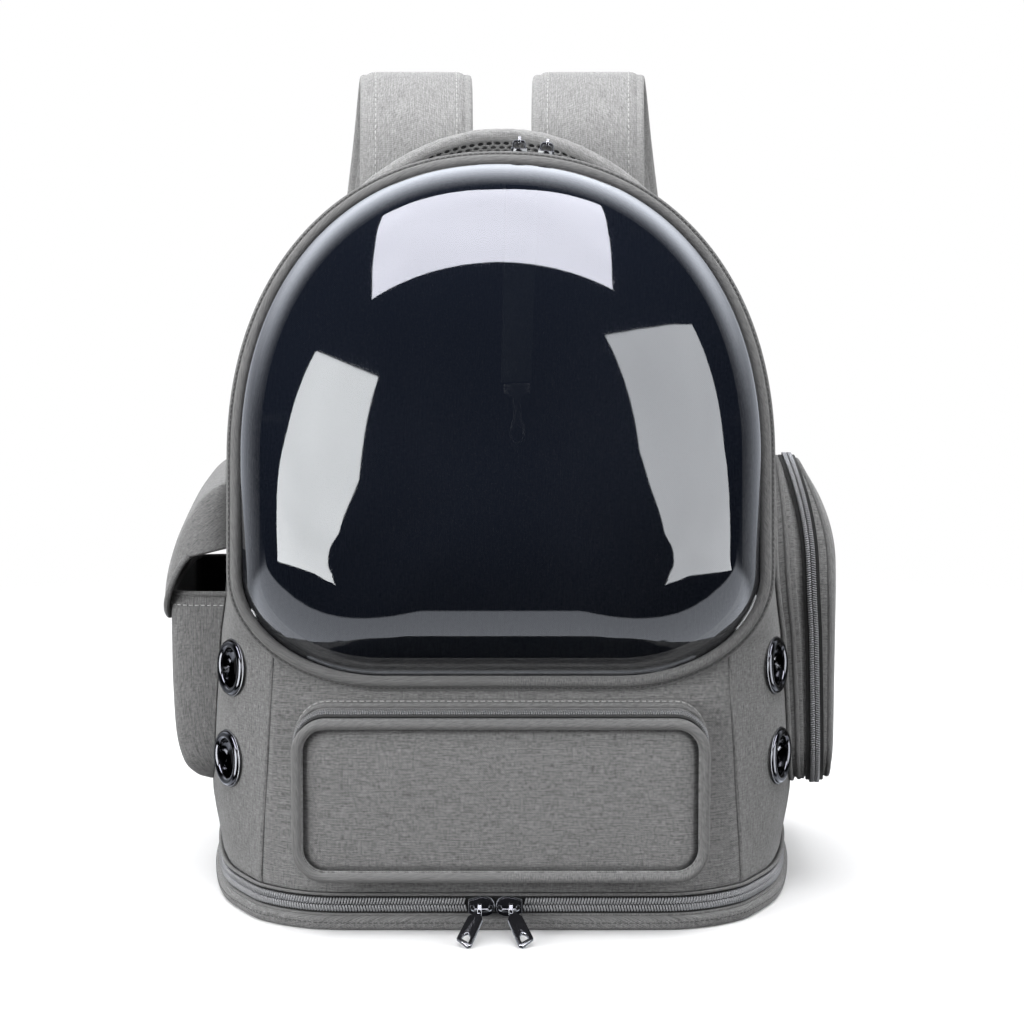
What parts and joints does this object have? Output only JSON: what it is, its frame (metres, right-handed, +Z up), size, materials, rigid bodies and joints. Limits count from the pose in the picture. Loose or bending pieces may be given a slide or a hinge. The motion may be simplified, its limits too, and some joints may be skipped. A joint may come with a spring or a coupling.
{
  "type": "bubble pet carrier backpack",
  "caption": "Grey fabric pet carrier backpack with a smoked bubble window, side and front pockets, vents, a carry handle and shoulder straps.",
  "frame": {"origin": "middle of the tray's underside, on the floor that the bag stands on", "axes": "+X to the viewer's right when facing the window, +Y from the window to the wearer's back, +Z up"},
  "size_m": [0.3811, 0.3924, 0.4594],
  "materials": {
    "heather_cloth": "heather grey melange weave, matt",
    "strap_cloth": "light heather grey melange weave, matt",
    "piping": "grey twill binding, matt",
    "air_mesh": "grey spacer mesh",
    "webbing": "dark grey woven webbing",
    "zipper": "black zipper tape with a nylon coil",
    "pull_cord": "black cord",
    "black_plastic": "black moulded plastic",
    "window": "smoked clear plastic, polished",
    "vent_metal": "dark gunmetal plating, polished",
    "zip_metal": "black nickel plating, polished"
  },
  "bodies": {
    "bag": {"back_panel": "heather_cloth", "base_slider_left": "zip_metal", "base_slider_right": "zip_metal", "base_tray": "heather_cloth", "base_zipper": "zipper", "carry_handle": "strap_cloth", "dome_window": "window", "flap_pocket": "heather_cloth", "frame_band": "piping", "frame_piping": "piping", "front_panel": "heather_cloth", "front_pocket": "heather_cloth", "front_pocket_piping": "piping", "front_pocket_pull": "pull_cord", "front_pocket_zipper": "zipper", "handle_mesh": "air_mesh", "pocket_flap": "heather_cloth", "shoulder_strap_left": "strap_cloth", "shoulder_strap_right": "strap_cloth", "side_panel_left": "heather_cloth", "side_panel_right": "heather_cloth", "strap_buckle_left": "black_plastic", "strap_buckle_right": "black_plastic", "strap_webbing_left": "webbing", "strap_webbing_right": "webbing", "strap_yoke": "heather_cloth", "tether_clip": "black_plastic", "tether_strap": "webbing", "top_panel": "heather_cloth", "top_slider_left": "zip_metal", "top_slider_right": "zip_metal", "top_zipper": "zipper", "vent_left_high": "vent_metal", "vent_left_low": "vent_metal", "vent_right_high": "vent_metal", "vent_right_low": "vent_metal", "zip_pocket": "heather_cloth", "zip_pocket_slider": "zip_metal", "zip_pocket_zipper": "zipper"},
    "base_tab_left": {"base_pull_left": "zip_metal"},
    "base_tab_right": {"base_pull_right": "zip_metal"},
    "top_tab_left": {"top_pull_left": "zip_metal"},
    "top_tab_right": {"top_pull_right": "zip_metal"}
  },
  "joints": [
    {"name": "base_tab_left_swing", "type": "hinge", "parent": "bag", "child": "base_tab_left", "pos_m": [-0.0114, -0.1438, 0.0142], "axis": [1, 0, 0], "range_deg": [-66, 56]},
    {"name": "base_tab_right_swing", "type": "hinge", "parent": "bag", "child": "base_tab_right", "pos_m": [0.0054, -0.1438, 0.0142], "axis": [1, 0, 0], "range_deg": [-66, 56]},
    {"name": "top_tab_left_swing", "type": "hinge", "parent": "bag", "child": "top_tab_left", "pos_m": [0.01004, -0.05728, 0.42216], "axis": [0.9985, 0.0004, -0.0541], "range_deg": [0, 120]},
    {"name": "top_tab_right_swing", "type": "hinge", "parent": "bag", "child": "top_tab_right", "pos_m": [0.02543, -0.05738, 0.42083], "axis": [0.9897, 0.0004, -0.1432], "range_deg": [0, 120]}
  ]
}
